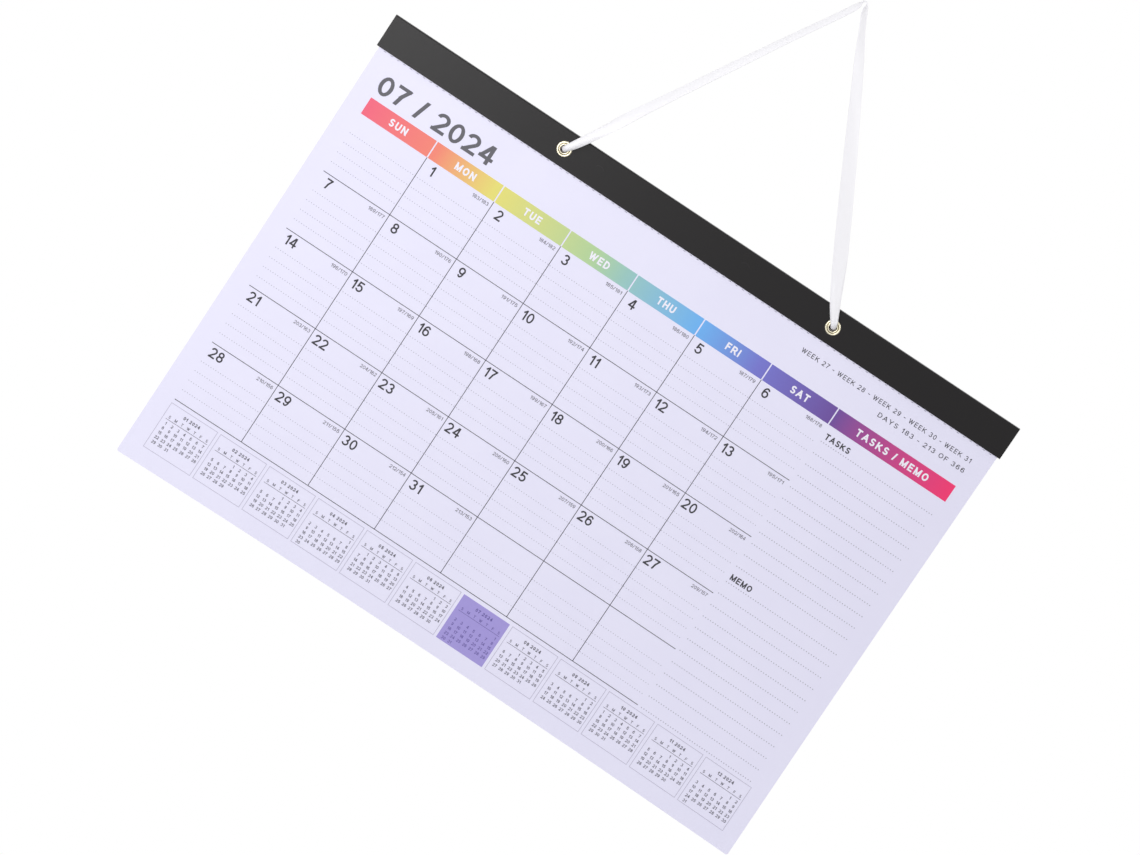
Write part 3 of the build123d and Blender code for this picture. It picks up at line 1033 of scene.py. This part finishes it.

# Satin: long floats of bright polyester yarn lie along the ribbon and give it a soft sheen.
# The yarns are 0.1 mm apart on a real one, and are drawn five times as coarse here to show.
# In the bores of the eyelets the ribbon's colour is darkened as painted shade of the deep hole.
# A wave texture of scale one has 20 / tau bands to the unit.
satin_white = "#F7F5FE"
satin_bore_shade = "#6A5B54"
yarn_spacing = 0.5 * mm
bands_per_unit = 20 / math.tau
satin, satin_shader = start_material(
    "white_polyester_satin", satin_white, 0.42, Specular_IOR_Level=0.3,
    Subsurface_Weight=0.6, Subsurface_Radius=(1.0, 1.0, 1.0), Subsurface_Scale=0.4 * mm,
)
weave_place = add_node(satin, "ShaderNodeUVMap", {"uv_map": "weave"})
yarns = add_node(
    satin, "ShaderNodeTexWave", {"bands_direction": "X"},
    Vector=weave_place.outputs[0], Scale=1 / bands_per_unit / yarn_spacing, Distortion=0.4,
)
yarn_bump = add_node(
    satin, "ShaderNodeBump", {},
    Strength=0.15, Distance=0.03 * mm, Height=yarns.outputs["Fac"],
)
satin.node_tree.links.new(yarn_bump.outputs[0], satin_shader.inputs["Normal"])
satin_place = add_node(satin, "ShaderNodeTexCoord")
satin_parts = add_node(satin, "ShaderNodeSeparateXYZ", {}, Vector=satin_place.outputs["Object"])
# Painted shade: a mask that is one inside the bores, where the satin's colour turns dark.
into_bore = add_node(
    satin, "ShaderNodeMapRange", {},
    Value=satin_parts.outputs["Y"], From_Min=0.4 * mm, From_Max=2.4 * mm,
)
out_of_bore = add_node(
    satin, "ShaderNodeMapRange", {},
    Value=satin_parts.outputs["Y"], From_Min=knot_low.y + 1.4 * mm, From_Max=knot_low.y,
)
beside_bore = add_node(
    satin, "ShaderNodeMapRange", {},
    Value=satin_parts.outputs["Z"], From_Min=hole_z + 4 * mm, From_Max=hole_z + 2.4 * mm,
)
within_bore = add_node(
    satin, "ShaderNodeMath", {"operation": "MULTIPLY"},
    _0=into_bore.outputs[0], _1=out_of_bore.outputs[0],
)
painted_bore_shade = add_node(
    satin, "ShaderNodeMath", {"operation": "MULTIPLY"},
    _0=within_bore.outputs[0], _1=beside_bore.outputs[0],
)
satin_colour = add_node(
    satin, "ShaderNodeMix", {"data_type": "RGBA"},
    _0=painted_bore_shade.outputs[0], _6=linear_colour(satin_white), _7=linear_colour(satin_bore_shade),
)
satin.node_tree.links.new(satin_colour.outputs[2], satin_shader.inputs["Base Color"])
ribbon.data.materials.append(satin)
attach(ribbon, "root")
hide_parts("hanging_ribbon")


# Knots. Behind each eyelet the ribbon is tied in an overhand knot, pulled down to a bead too
# big for the hole, and its end is cut off short.
knot_radius = (knot_high.x - knot_low.x) / 2
knot_depth = knot_high.y - knot_low.y
knot_lead = 1.5 * mm
knot_turns = [math.radians(angle) for angle in range(-50, 276, 25)]
across_scale = knot_radius * 0.27
depth_scale = knot_depth * 0.26
for side, hole_x in (("left", left_hole_x), ("right", right_hole_x)):
    knot_middle = Vector((hole_x, (knot_low.y + knot_high.y) / 2, hole_z))
    loop_route = [(hole_x, knot_low.y - knot_lead, hole_z)]
    for turn in knot_turns:
        loop_route.append(knot_middle + Vector((
            across_scale * (math.sin(turn) + 2 * math.sin(2 * turn)),
            -depth_scale * math.sin(3 * turn),
            across_scale * (math.cos(turn) - 2 * math.cos(2 * turn)),
        )))
    knot = smooth_line(f"{side}_overhand_knot", loop_route, resolution=8)
    knot.data.extrude = 0.75 * mm
    knot.data.bevel_depth = 0.55 * mm
    knot.data.bevel_resolution = 3
    select_only([knot])
    bpy.ops.object.convert(target="MESH")
    knot.data.materials.clear()
    knot.data.materials.append(satin)
    bpy.ops.object.shade_smooth_by_angle(angle=ribbon_edge_angle)
    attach(knot, "root")
    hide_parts(f"{side}_knot")
